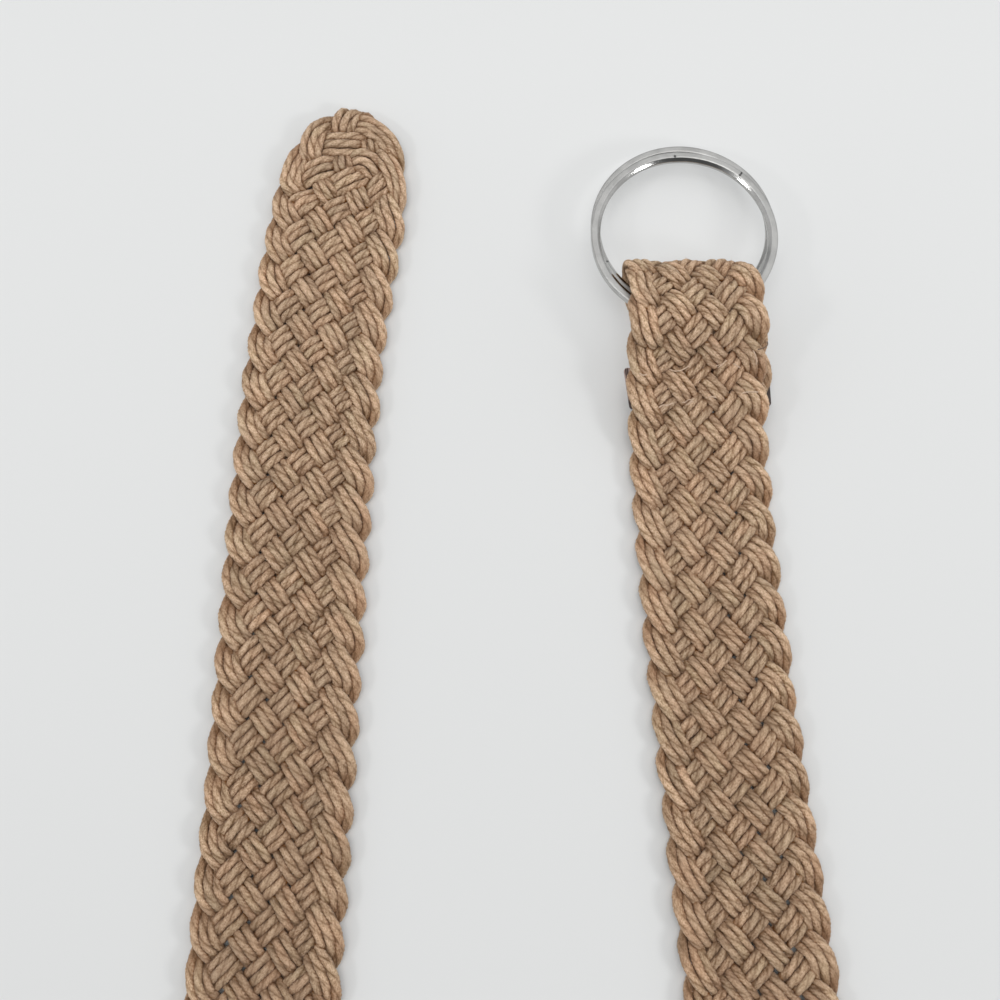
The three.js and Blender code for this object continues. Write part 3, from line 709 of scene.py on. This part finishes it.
def leather(name):
    m, tree, bsdf = material(name)
    obj = node(tree, "ShaderNodeTexCoord").outputs["Object"]
    cells = node(tree, "ShaderNodeTexVoronoi", {"Vector": obj, "Scale": 1500.0}, feature="F1").outputs["Distance"]
    cloud = node(tree, "ShaderNodeTexNoise", {"Vector": obj, "Scale": 260.0, "Detail": 4.0, "Roughness": 0.6}).outputs[0]
    base = ramp(tree, cloud, [(0.3, (0.045, 0.035, 0.034)), (0.55, (0.088, 0.066, 0.060)), (0.75, (0.150, 0.114, 0.100))])
    base = mix(tree, calc(tree, "MULTIPLY", cells, 0.4), base, (0.050, 0.038, 0.034))
    # paler scuffs at its left end, where the finish has gone
    place = node(tree, "ShaderNodeSeparateXYZ", {0: obj})
    scuff = node(tree, "ShaderNodeTexNoise", {
        "Vector": node(tree, "ShaderNodeMapping", {"Vector": obj, "Scale": (1.0, 0.12, 1.0)}).outputs[0],
        "Scale": 1900.0, "Detail": 1.0}).outputs[0]
    near_left = node(tree, "ShaderNodeMapRange", {"Value": place.outputs[0], "From Min": 0.0358, "From Max": 0.0345, "To Min": 0.0, "To Max": 1.0}).outputs[0]
    upper = node(tree, "ShaderNodeMapRange", {"Value": place.outputs[1], "From Min": 0.1475, "From Max": 0.1505, "To Min": 0.0, "To Max": 1.0}).outputs[0]
    streaks = node(tree, "ShaderNodeMapRange", {"Value": scuff, "From Min": 0.44, "From Max": 0.56, "To Min": 0.1, "To Max": 0.95}).outputs[0]
    base = mix(tree, calc(tree, "MULTIPLY", calc(tree, "MULTIPLY", near_left, upper), streaks), base, (0.50, 0.37, 0.33))
    tree.links.new(base, bsdf.inputs["Base Color"])
    tree.links.new(calc(tree, "ADD", 0.48, calc(tree, "MULTIPLY", cloud, 0.3)), bsdf.inputs["Roughness"])
    height = calc(tree, "ADD", calc(tree, "MULTIPLY", calc(tree, "SUBTRACT", 1.0, cells), 0.6), calc(tree, "MULTIPLY", cloud, 0.4))
    bump = node(tree, "ShaderNodeBump", {"Height": height, "Strength": 0.5, "Distance": 0.0003})
    tree.links.new(bump.outputs[0], bsdf.inputs["Normal"])
    bsdf.inputs["Specular IOR Level"].default_value = 0.25
    return m


# ---------------------------------------------------------------- camera, floor, light
camera = bpy.data.objects.new("camera", bpy.data.cameras.new("camera"))
bpy.context.scene.collection.objects.link(camera)
camera.location = (-0.0043663, 0.0500325, 0.320)
camera.rotation_euler = (math.radians(12.0), 0, 0)
camera.data.sensor_width = 36.0
camera.data.lens = 40.18
camera.data.clip_start, camera.data.clip_end = 0.01, 30.0
bpy.context.scene.camera = camera

floor_mesh = bpy.data.meshes.new("floor")
floor_mesh.from_pydata([(-6, -6, 0), (6, -6, 0), (6, 6, 0), (-6, 6, 0)], [], [(0, 1, 2, 3)])
floor = bpy.data.objects.new("floor", floor_mesh)
bpy.context.scene.collection.objects.link(floor)
floor_mat, floor_tree, floor_bsdf = material("floor_pale")
floor_noise = node(floor_tree, "ShaderNodeTexNoise", {
    "Vector": node(floor_tree, "ShaderNodeTexCoord").outputs["Object"], "Scale": 3.0, "Detail": 1.0}).outputs[0]
floor_col = ramp(floor_tree, floor_noise, [(0.3, (0.768, 0.777, 0.776)), (0.7, (0.780, 0.789, 0.788))])
floor_y = node(floor_tree, "ShaderNodeSeparateXYZ", {0: node(floor_tree, "ShaderNodeTexCoord").outputs["Object"]}).outputs[1]
# painted shade: the floor darker towards low y
floor_near = node(floor_tree, "ShaderNodeMapRange", {"Value": floor_y, "From Min": 0.26, "From Max": -0.03, "To Min": 0.0, "To Max": 1.0}).outputs[0]
floor_col = mix(floor_tree, floor_near, floor_col, mix(floor_tree, 1.0, floor_col, (0.888, 0.888, 0.888), blend="MULTIPLY"))
# round the rings the floor is as pale in the shade as in the photograph: part of its light comes from itself there
floor_at = node(floor_tree, "ShaderNodeTexCoord").outputs["Object"]
floor_off = node(floor_tree, "ShaderNodeVectorMath", {0: floor_at, 1: (0.051, 0.197, 0.0)}, operation="DISTANCE").outputs["Value"]
floor_part = node(floor_tree, "ShaderNodeMapRange", {"Value": floor_off, "From Min": 0.032, "From Max": 0.062, "To Min": 0.42, "To Max": 0.0},
                  interpolation_type="SMOOTHSTEP").outputs[0]
floor_tree.links.new(floor_col, floor_bsdf.inputs["Emission Color"])
floor_tree.links.new(calc(floor_tree, "MULTIPLY", floor_part, 1.05), floor_bsdf.inputs["Emission Strength"])
floor_col = mix(floor_tree, floor_part, floor_col, (0.0, 0.0, 0.0))
floor_tree.links.new(floor_col, floor_bsdf.inputs["Base Color"])
floor_bsdf.inputs["Roughness"].default_value = 0.8
floor_bsdf.inputs["Specular IOR Level"].default_value = 0.2
floor_mesh.materials.append(floor_mat)

world = bpy.data.worlds.new("studio")
bpy.context.scene.world = world
world.use_nodes = True
wt = world.node_tree
wt.nodes.clear()
w_out = wt.nodes.new("ShaderNodeOutputWorld")
w_bg = wt.nodes.new("ShaderNodeBackground")
wt.links.new(w_bg.outputs[0], w_out.inputs[0])
w_dir = node(wt, "ShaderNodeSeparateXYZ", {0: node(wt, "ShaderNodeTexCoord").outputs["Generated"]})
w_z = w_dir.outputs[2]
w_col = ramp(wt, calc(wt, "ADD", 0.0, w_z, clamp=True), [(0.0, (0.50, 0.505, 0.51)), (0.30, (0.66, 0.665, 0.67)), (1.0, (1.0, 1.0, 1.0))])
# the near side of the room is darker
w_dot = node(wt, "ShaderNodeVectorMath", {0: node(wt, "ShaderNodeTexCoord").outputs["Generated"], 1: (0.12, -0.76, 0.64)}, operation="DOT_PRODUCT").outputs["Value"]
w_near = node(wt, "ShaderNodeMapRange", {"Value": w_dot, "From Min": 0.68, "From Max": 0.83, "To Min": 0.0, "To Max": 0.87}).outputs[0]
w_high = node(wt, "ShaderNodeMapRange", {"Value": w_z, "From Min": 0.22, "From Max": 0.42, "To Min": 0.0, "To Max": 1.0}).outputs[0]
w_side = node(wt, "ShaderNodeMapRange", {"Value": calc(wt, "ABSOLUTE", w_dir.outputs[0]), "From Min": 0.72, "From Max": 0.96, "To Min": 0.0, "To Max": 0.8}).outputs[0]
w_col = mix(wt, w_side, w_col, (1.0, 1.0, 1.0))
w_col = mix(wt, calc(wt, "MULTIPLY", w_near, w_high), w_col, (0.03, 0.03, 0.03))
wt.links.new(w_col, w_bg.inputs[0])
w_bg.inputs[1].default_value = 0.885


def area(name, at, to, size, power, colour=(1, 1, 1)):
    light = bpy.data.lights.new(name, "AREA")
    light.shape = "DISK"
    light.size = size
    light.energy = power
    light.color = colour
    ob = bpy.data.objects.new(name, light)
    ob.location = at
    ob.rotation_euler = (Vector(to) - Vector(at)).to_track_quat("-Z", "Y").to_euler()
    bpy.context.scene.collection.objects.link(ob)
    return ob


area("key", (-0.15, 0.05, 1.45), (0, 0.05, 0), 1.3, 5.8, (1.0, 0.995, 0.985))
area("fill", (0.45, 0.60, 1.35), (0, 0.1, 0), 1.3, 1.8, (0.985, 0.99, 1.0))
area("glint_right", (0.895, -0.437, 0.60), (0.05, 0.2, 0), 0.25, 2.9)
area("glint_left", (-0.84, -0.20, 0.71), (0.05, 0.2, 0), 0.14, 1.3)
bpy.context.scene.view_settings.view_transform = "Standard"
bpy.context.scene.view_settings.look = "None"

# ---------------------------------------------------------------- the plaited cords
cotton_mat = cotton("cotton_cord")
cord_objects = []
COURSES = []                      # every cord's middle line and the strap's normal along it
index = 0
for name in STRANDS:
    rows = strand_path(name)
    for k in CORDS:
        index += 1
        COURSES.append(resample(1.05, *cord_path(rows, k)))
SPINE = np.vstack([np.vstack([c[0], 0.5 * (c[0][1:] + c[0][:-1])]) for c in COURSES])
SPINE_OWNER = np.concatenate([np.full(2 * len(c[0]) - 1, q + 1) for q, c in enumerate(COURSES)])
SPINE_ROW = np.concatenate([np.concatenate([np.arange(len(c[0])), np.arange(len(c[0]) - 1) + 0.5]) for c in COURSES])
for index, (p, nrm, spacing, wk, drop, rise, column, crest, at) in enumerate(COURSES, 1):
    thick = 1.0 + wander(len(p), 0.03, 7) + 0.03 * (2 * wk - 1)
    dive = np.exp(-((np.clip(wk, 0, 1) - 0.40) / 0.28) ** 2)
    lateral = 0.5 * np.clip(spacing * 1.22, CORD * 0.98, CORD * 1.16) * thick * (1.02 + 0.11 * dive)
    upright = 0.5 * CORD * thick * (1 + 0.05 * dive)
    phase = 2 * math.pi * at / PLY_PITCH + wander(len(p), 0.35, 22) + rng.uniform(0, 6.28)
    ob = tube_mesh(f"cord_{index:02d}", p, nrm, lateral, upright, phase, PROFILE, at, index, drop, rise, (column, crest))
    ob.data.materials.append(cotton_mat)
    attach(ob, "belt")
    cord_objects.append(ob)
for ob in cord_objects:
    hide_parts("strap")


# ---------------------------------------------------------------- rings
def ring_object(name, centre, seam):
    prof, zone = [], []
    # corners of the section, rounded: flat faces, an upright outer wall and a bevelled bore
    knots = [(RING_OUT, -RING_HALF, 0.55), (RING_OUT, RING_HALF, 0.55), (RING_IN + 1.05, RING_HALF, 0.30),
             (RING_IN, RING_HALF - 0.95, 0.35), (RING_IN, -RING_HALF + 0.95, 0.35), (RING_IN + 1.05, -RING_HALF, 0.30)]
    face = [0, 1, 0, 0, 0, 1]         # is the side that follows the corner a flat face
    for c, (cr, cz, cut) in enumerate(knots):
        here = np.array([cr, cz])
        back, on = np.array(knots[c - 1][:2]), np.array(knots[(c + 1) % 6][:2])
        start = here + (back - here) / np.linalg.norm(back - here) * cut
        stop = here + (on - here) / np.linalg.norm(on - here) * cut
        for q in range(7):
            f = q / 6
            prof.append((1 - f)**2 * start + 2 * f * (1 - f) * here + f * f * stop)
            zone.append((1 - f) * face[c - 1] + f * face[c])
        nxt = on + (here - on) / np.linalg.norm(here - on) * knots[(c + 1) % 6][2]
        for q in range(1, 4):
            prof.append(stop + (nxt - stop) * q / 4)
            zone.append(float(face[c]))
    prof, zone = np.array(prof)[::-1], zone[::-1]
    m = len(prof)
    angles = list(np.linspace(0, 2 * math.pi, 256, endpoint=False))
    if seam is not None:
        angles = [a for a in angles if abs((a - seam + math.pi) % (2 * math.pi) - math.pi) > 0.02]
        angles += [seam + d for d in (-0.016, -0.010, -0.0062, -0.0032, 0.0, 0.0032, 0.0062, 0.010, 0.016)]
        angles = sorted(a % (2 * math.pi) for a in angles)
    angles = np.array(angles)
    n = len(angles)
    mid = np.array([(RING_IN + RING_OUT) / 2, 0.0])
    out = np.zeros((n, m, 3))
    wear_and_shade = np.zeros(n)
    for harmonic in (2, 3, 5, 7):
        wear_and_shade += rng.normal(0, 0.018) * np.cos(harmonic * angles + rng.uniform(0, 6.28))
    for k, a in enumerate(angles):
        shrink = 0.0
        if seam is not None:
            d = abs((a - seam + math.pi) % (2 * math.pi) - math.pi)
            shrink = 0.085 * math.exp(-(d / 0.0042) ** 2)
        pr = mid + (prof - mid) * (1 - shrink)
        rad = pr[:, 0] + wear_and_shade[k]
        out[k, :, 0] = rad * math.cos(a)
        out[k, :, 1] = rad * math.sin(a)
        out[k, :, 2] = pr[:, 1]
    verts = out.reshape(-1, 3)
    verts = (verts @ RING_TURN.T + np.array(centre)) / 1000.0
    faces, uvs = [], []
    length = np.concatenate([[0], np.cumsum(np.linalg.norm(np.diff(np.vstack([prof, prof[:1]]), axis=0), axis=1))])
    length /= length[-1]
    turn = np.append(angles, angles[0] + 2 * math.pi) / (2 * math.pi)
    for k in range(n):
        k2 = (k + 1) % n
        for q in range(m):
            q2 = (q + 1) % m
            faces.append((k * m + q, k2 * m + q, k2 * m + q2, k * m + q2)[::-1])
            uvs += [(turn[k], length[q + 1]), (turn[k + 1], length[q + 1]), (turn[k + 1], length[q]), (turn[k], length[q])]
    mesh = bpy.data.meshes.new(name)
    mesh.from_pydata([tuple(v) for v in verts], [], faces)
    mesh.polygons.foreach_set("use_smooth", np.ones(len(faces), bool))
    layer = mesh.uv_layers.new(name="RingUV")
    layer.data.foreach_set("uv", np.array(uvs, np.float32).ravel())
    attr = mesh.attributes.new("zone", "FLOAT", "POINT")
    attr.data.foreach_set("value", np.tile(np.array(zone, np.float32), n))
    mesh.validate()
    mesh.update()
    ob = bpy.data.objects.new(name, mesh)
    bpy.context.scene.collection.objects.link(ob)
    return ob


metal_mat = metal("ring_metal", (0.47, 0.468, 0.458))
for node_name, body, seam in (("ring_upper", "upper_ring", None), ("ring_lower", "lower_ring", math.radians(206))):
    ob = ring_object(node_name + "_metal", RING_CENTRES[node_name], seam)
    ob.data.materials.append(metal_mat)
    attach(ob, body)
    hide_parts(node_name)

# ---------------------------------------------------------------- leather patch
PATCH_AT, PATCH_WIDE, PATCH_LONG, PATCH_THICK, PATCH_TURN = (59.4, 102.4), 43.4, 12.8, 1.2, math.radians(1.3)


def patch_object():
    nx, ny, nz = 60, 18, 3
    import bmesh
    bm = bmesh.new()
    bmesh.ops.create_cube(bm, size=1.0)
    for v in bm.verts:
        v.co = Vector((v.co.x * PATCH_WIDE, v.co.y * PATCH_LONG, (v.co.z + 0.5) * PATCH_THICK))
    bmesh.ops.bevel(bm, geom=[e for e in bm.edges if abs(e.verts[0].co.z - e.verts[1].co.z) > 0.5],
                    offset=1.0, segments=4, affect="EDGES", profile=0.5)
    bmesh.ops.bevel(bm, geom=[e for e in bm.edges if abs(e.verts[0].co.z - e.verts[1].co.z) < 1e-4],
                    offset=0.28, segments=3, affect="EDGES", profile=0.5)
    for axis, count, size in ((0, nx, PATCH_WIDE), (1, ny, PATCH_LONG)):
        for q in range(1, count):
            co = [0, 0, 0]
            no = [0, 0, 0]
            co[axis] = -size / 2 + size * q / count
            no[axis] = 1
            bmesh.ops.bisect_plane(bm, geom=bm.verts[:] + bm.edges[:] + bm.faces[:], plane_co=co, plane_no=no)
    c, s = math.cos(PATCH_TURN), math.sin(PATCH_TURN)
    for v in bm.verts:
        x, y, z = v.co
        x *= 0.979
        if x < 0:                     # its left end is cut a little askew
            x += (0.10 * y + 0.35) * 2 * x / PATCH_WIDE
        edge = min(1.0, (PATCH_WIDE / 2 - abs(x)) / 1.2)
        z2 = z - 0.05 * (1 - edge) * (z / PATCH_THICK)
        v.co = Vector(((x * c - y * s + PATCH_AT[0] + SHIFT[0]) / 1000, (x * s + y * c + PATCH_AT[1] + SHIFT[1]) / 1000, max(z2, 0) / 1000))
    mesh = bpy.data.meshes.new("patch_leather")
    bm.to_mesh(mesh)
    bm.free()
    for poly in mesh.polygons:
        poly.use_smooth = True
    ob = bpy.data.objects.new("patch_leather", mesh)
    bpy.context.scene.collection.objects.link(ob)
    return ob


patch = patch_object()
patch.data.materials.append(leather("patch_leather"))
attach(patch, "belt")
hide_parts("label_patch")

# ---------------------------------------------------------------- sewing thread and stray fibres
def hair_mesh(name, paths, radii, sides):
    """Thin closed threads in one piece; each thread has its own cell in OFBake."""
    verts, faces, uvs, bakes = [], [], [], []
    grid = math.ceil(math.sqrt(len(paths)))
    for c, (path, radius) in enumerate(zip(paths, radii)):
        path = np.asarray(path, float)
        n = len(path)
        t = np.gradient(path, axis=0)
        t /= np.maximum(np.linalg.norm(t, axis=1), 1e-9)[:, None]
        helper = np.array([0.31, 0.22, 0.92]) if abs(t[0] @ np.array([0.31, 0.22, 0.92])) < 0.9 else np.array([1.0, 0.1, 0.0])
        e1 = np.cross(t[0], helper)
        e1 /= np.linalg.norm(e1)
        first = len(verts)
        for q in range(n):
            e1 = e1 - (e1 @ t[q]) * t[q]
            e1 /= np.linalg.norm(e1)
            e2 = np.cross(e1, t[q])
            r = radius * (1.0 if 0 < q < n - 1 else 0.55)
            for m in range(sides):
                a = 2 * math.pi * m / sides
                verts.append((path[q] + r * (math.cos(a) * e1 + math.sin(a) * e2)) / 1000.0)
        verts.append((path[0] - t[0] * radius * 0.3) / 1000.0)
        verts.append((path[-1] + t[-1] * radius * 0.3) / 1000.0)
        cell = 1.0 / grid
        cx, cy = (c % grid) * cell, (c // grid) * cell
        put = lambda x, y: (cx + cell * (0.06 + 0.88 * x), cy + cell * (0.06 + 0.88 * y))
        for q in range(n - 1):
            for m in range(sides):
                m2 = (m + 1) % sides
                faces.append((first + q * sides + m, first + q * sides + m2, first + (q + 1) * sides + m2, first + (q + 1) * sides + m))
                xa, xb = 0.15 + 0.7 * q / (n - 1), 0.15 + 0.7 * (q + 1) / (n - 1)
                bakes += [put(xa, m / sides), put(xa, (m + 1) / sides), put(xb, (m + 1) / sides), put(xb, m / sides)]
                uvs += [(m / sides, q * 0.001), ((m + 1) / sides, q * 0.001), ((m + 1) / sides, (q + 1) * 0.001), (m / sides, (q + 1) * 0.001)]
        for e, (ring, tip) in enumerate(((first, len(verts) - 2), (first + (n - 1) * sides, len(verts) - 1))):
            for m in range(sides):
                m2 = (m + 1) % sides
                faces.append((ring + m2, ring + m, tip) if e == 0 else (ring + m, ring + m2, tip))
                lo, hi = m / sides, (m + 1) / sides
                x_in, x_out = (0.13, 0.0) if e == 0 else (0.87, 1.0)
                tri = [put(x_in, hi), put(x_in, lo), put(x_out, (lo + hi) / 2)]
                if e == 1:
                    tri = [put(x_in, lo), put(x_in, hi), put(x_out, (lo + hi) / 2)]
                bakes += tri
                uvs += [(0.5, 0.0)] * 3
    mesh = bpy.data.meshes.new(name)
    mesh.from_pydata([tuple(v) for v in verts], [], faces)
    mesh.polygons.foreach_set("use_smooth", np.ones(len(faces), bool))
    mesh.uv_layers.new(name="CordUV").data.foreach_set("uv", np.array(uvs, np.float32).ravel())
    mesh.uv_layers.new(name="OFBake").data.foreach_set("uv", np.array(bakes, np.float32).ravel())
    mesh.uv_layers.active = mesh.uv_layers["CordUV"]
    mesh.validate()
    mesh.update()
    ob = bpy.data.objects.new(name, mesh)
    bpy.context.scene.collection.objects.link(ob)
    return ob


def thread_material(name, light, dark):
    m, tree, bsdf = material(name)
    obj = node(tree, "ShaderNodeTexCoord").outputs["Object"]
    grain = node(tree, "ShaderNodeTexNoise", {"Vector": obj, "Scale": 1900.0, "Detail": 3.0, "Roughness": 0.6}).outputs[0]
    broad = node(tree, "ShaderNodeTexNoise", {"Vector": obj, "Scale": 180.0, "Detail": 1.0}).outputs[0]
    tree.links.new(mix(tree, broad, ramp(tree, grain, [(0.38, dark), (0.60, light)]), light), bsdf.inputs["Base Color"])
    bump = node(tree, "ShaderNodeBump", {"Height": grain, "Strength": 0.5, "Distance": 0.0002})
    tree.links.new(bump.outputs[0], bsdf.inputs["Normal"])
    bsdf.inputs["Roughness"].default_value = 0.85
    bsdf.inputs["Specular IOR Level"].default_value = 0.25
    bsdf.inputs["Sheen Weight"].default_value = 0.2
    return m


ALL = np.vstack([c[0] for c in COURSES])
UP = np.vstack([c[1] for c in COURSES])


def surface(x, y):
    """Height of the plait's upper surface over (x, y)."""
    d2 = (ALL[:, 0] - x) ** 2 + (ALL[:, 1] - y) ** 2
    near = d2 < 1.25**2
    return (ALL[near, 2] + np.sqrt(1.25**2 - d2[near])).max() if near.any() else MIDDLE


STITCHES = [
    [(44.8, 154.9), (46.5, 154.2), (47.9, 154.2), (49.6, 154.9), (50.6, 155.5)],
    [(48.4, 145.1), (49.4, 145.2), (50.4, 145.9), (51.2, 145.7), (52.0, 146.1)],
    [(49.9, 144.2), (51.0, 145.1), (51.7, 145.2)],
    [(58.2, 155.5), (59.3, 155.9), (60.4, 156.2), (61.5, 157.1)],
    [(59.0, 155.1), (60.1, 155.8), (61.0, 156.7)],
    [(56.0, 146.2), (57.1, 146.5), (58.4, 146.3)],
    [(65.6, 147.4), (67.2, 147.8), (68.9, 147.7), (70.7, 147.9)],
    [(36.0, 153.3), (37.1, 152.7), (38.4, 153.0)],
    [(68.6, 159.4), (69.3, 158.3), (69.9, 156.9), (70.1, 155.9)],
    [(41.6, 143.5), (42.8, 144.2), (44.2, 144.1), (45.9, 144.9)],
    [(63.3, 156.0), (64.5, 155.3), (65.6, 155.1)],
]
threads, widths = [], []
for line in STITCHES:
    pts = curve_through([(x, y, 0.0) for x, y in line], 6)
    z = np.array([surface(x, y) for x, y, _ in pts])
    z = np.maximum(z, smooth(z, 2.5)) + 0.10
    z[0] -= 0.9
    z[-1] -= 0.9
    pts[:, 2] = smooth(z, 0.7)
    threads.append(pts)
    widths.append(0.21)
# the loose end of the thread at the edge
loose = curve_through([(69.9, 159.3, 14.4), (70.9, 159.4, 15.0), (71.8, 159.7, 15.2), (72.5, 160.3, 15.1),
                       (72.7, 161.0, 15.0), (72.5, 161.6, 15.0)], 6)
sewing = hair_mesh("sewing_thread", threads, widths, 8)
sewing.data.materials.append(thread_material("sewing_thread", (0.66, 0.50, 0.37), (0.34, 0.22, 0.14)))
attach(sewing, "belt")
loose_ob = hair_mesh("loose_thread", [loose], [0.17], 8)
loose_ob.data.materials.append(thread_material("loose_thread", (0.20, 0.14, 0.10), (0.08, 0.05, 0.035)))
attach(loose_ob, "belt")

fibres, widths = [], []
pick = rng.integers(0, len(ALL), 9000)
for q in pick:
    base, up = ALL[q], UP[q]
    back = ALL[q + 1] - ALL[q] if q + 1 < len(ALL) else ALL[q] - ALL[q - 1]
    if np.linalg.norm(back) > 3 or len(fibres) >= 3000:
        continue
    along = back / np.linalg.norm(back)
    a = rng.uniform(-1.7, 1.7)
    side = np.cross(along, up)
    out = math.cos(a) * up + math.sin(a) * side
    start = base + out * 1.12
    if start[2] < 1.6:
        continue
    # only where nothing covers the cord
    d2 = ((ALL[:, :2] - start[:2]) ** 2).sum(1)
    if (ALL[d2 < 0.9, 2] > start[2] + 0.2).any():
        continue
    lean = along * rng.uniform(-1.2, 1.2) + side * rng.uniform(-0.6, 0.6)
    size = rng.uniform(0.5, 1.3)
    path = [start]
    way = out + lean * 0.8
    for _ in range(4):
        way = way / np.linalg.norm(way) + rng.normal(0, 0.35, 3) + np.array([0, 0, -0.12])
        path.append(path[-1] + way / np.linalg.norm(way) * size / 4)
    path = np.array(path)
    path[:, 2] = np.maximum(path[:, 2], 0.15)
    fibres.append(path)
    widths.append(rng.uniform(0.016, 0.030))
fuzz_ob = hair_mesh("stray_fibres", fibres, widths, 3)
fuzz_ob.data.materials.append(thread_material("stray_fibres", (0.78, 0.64, 0.50), (0.52, 0.38, 0.27)))
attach(fuzz_ob, "belt")
